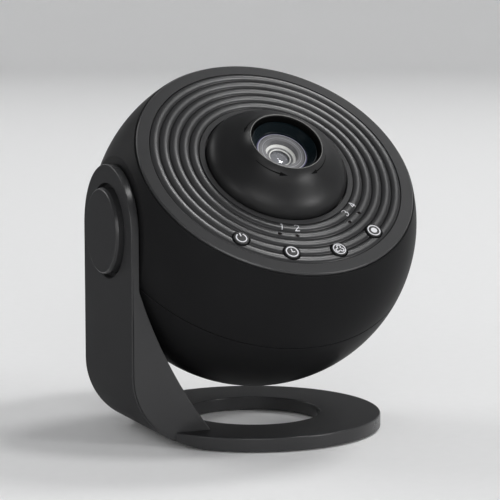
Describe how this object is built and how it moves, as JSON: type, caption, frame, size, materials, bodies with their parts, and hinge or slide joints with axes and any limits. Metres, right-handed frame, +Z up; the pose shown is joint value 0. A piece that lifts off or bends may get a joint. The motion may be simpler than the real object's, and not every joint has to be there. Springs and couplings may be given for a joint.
{
  "type": "planetarium projector",
  "caption": "Ball-shaped home star projector with a tilting head on a side arm, a ring base, a ridged face plate, a focus ring and push buttons.",
  "frame": {"origin": "on the floor, straight under the centre of the ball", "axes": "+Z up; -Y is the front, towards which the face leans; the arm stands on -X, and the tilt axis runs along X through the ball's centre"},
  "size_m": [0.13, 0.1286, 0.1436],
  "materials": {
    "shell_black": "fine matt moulded black",
    "face_charcoal": "satin charcoal",
    "dome_black": "soft satin black",
    "barrel_gloss": "gloss black",
    "stand_grey": "satin dark grey",
    "button_grey": "satin dark grey",
    "inner_black": "plain moulded",
    "foot_rubber": "matt",
    "bright_steel": "zinc plated",
    "cast_aluminium": "satin",
    "lamp_white": "white mask",
    "lamp_yellow": "phosphor under clear resin",
    "board_green": "solder mask",
    "pipe_red": "dark tinted clear resin",
    "lens_clear": "frosted clear resin",
    "lens_glass": "polished",
    "film_dark": "star film on a clear disc",
    "gear_white": "acetal",
    "print_pale": "printed symbols and numbers"
  },
  "bodies": {
    "stand": {"base_ring": "stand_grey", "ballast_ring": "bright_steel", "base_cover": "inner_black", "foot_ring": "foot_rubber", "base_screws": "bright_steel", "stand_arm": "stand_grey", "arm_cover": "stand_grey", "arm_screws": "bright_steel"},
    "head": {"lower_shell": "shell_black", "upper_shell": "shell_black", "shell_screws": "bright_steel", "face_plate": "face_charcoal", "plate_screws": "bright_steel", "pivot_hub": "bright_steel", "hub_screws": "bright_steel", "wave_washer": "bright_steel", "retaining_plate": "bright_steel", "pivot_screw": "bright_steel", "pivot_cap": "stand_grey", "chassis": "inner_black", "chassis_screws": "bright_steel", "guide_tube": "inner_black", "focus_retainer": "inner_black", "retainer_screws": "bright_steel", "condenser_holder": "inner_black", "holder_screws": "bright_steel", "condenser_lens": "lens_glass", "lamp_board": "lamp_white", "lamp_emitter": "lamp_yellow", "heat_sink": "cast_aluminium", "heat_sink_screws": "bright_steel", "drive_motor": "cast_aluminium", "motor_screws": "bright_steel", "main_board": "board_green", "button_board": "board_green", "board_screws": "bright_steel", "tact_switches": "inner_black", "light_pipes": "pipe_red", "power_socket": "inner_black", "socket_nut": "bright_steel"},
    "focus": {"focus_ring": "dome_black"},
    "lens": {"lens_barrel": "barrel_gloss", "lens_cell": "lens_clear", "front_lens": "lens_glass", "middle_lens": "lens_glass", "lens_spacer": "inner_black", "rear_lens": "lens_glass"},
    "disc": {"disc_gear": "inner_black", "film_disc": "film_dark", "disc_clip": "bright_steel"},
    "pinion": {"motor_pinion": "gear_white"},
    "power": {"power_button": "button_grey"},
    "timer": {"timer_button": "button_grey"},
    "motion": {"motion_button": "button_grey"},
    "light": {"light_button": "button_grey"}
  },
  "joints": [
    {"name": "head_tilt", "type": "hinge", "parent": "stand", "child": "head", "pos_m": [0, 0, 0.0822], "axis": [1, 0, 0], "range_deg": [-41.3, 48.7]},
    {"name": "focus_turn", "type": "hinge", "parent": "head", "child": "focus", "pos_m": [0, 0, 0.0822], "axis": [0, -0.66, 0.7513], "range_deg": [-60, 60]},
    {"name": "lens_slide", "type": "slide", "parent": "head", "child": "lens", "axis": [0, -0.66, 0.7513], "range_m": [-0.0015, 0.0015]},
    {"name": "disc_spin", "type": "hinge", "parent": "head", "child": "disc", "pos_m": [0, 0, 0.0822], "axis": [0, -0.66, 0.7513], "continuous": true},
    {"name": "pinion_spin", "type": "hinge", "parent": "head", "child": "pinion", "pos_m": [0.035, 0, 0.0822], "axis": [0, -0.66, 0.7513], "continuous": true},
    {"name": "power_press", "type": "slide", "parent": "head", "child": "power", "axis": [0, 0.66, -0.7513], "range_m": [0, 0.0006], "stiffness_N_per_m": 900, "springref_m": -0.0003},
    {"name": "timer_press", "type": "slide", "parent": "head", "child": "timer", "axis": [0, 0.66, -0.7513], "range_m": [0, 0.0006], "stiffness_N_per_m": 900, "springref_m": -0.0003},
    {"name": "motion_press", "type": "slide", "parent": "head", "child": "motion", "axis": [0, 0.66, -0.7513], "range_m": [0, 0.0006], "stiffness_N_per_m": 900, "springref_m": -0.0003},
    {"name": "light_press", "type": "slide", "parent": "head", "child": "light", "axis": [0, 0.66, -0.7513], "range_m": [0, 0.0006], "stiffness_N_per_m": 900, "springref_m": -0.0003}
  ],
  "couplings": [
    {"joint": "focus_turn", "follows": "lens_slide", "rad_per_m": 698.13},
    {"joint": "pinion_spin", "follows": "disc_spin", "ratio": -4.8333}
  ]
}
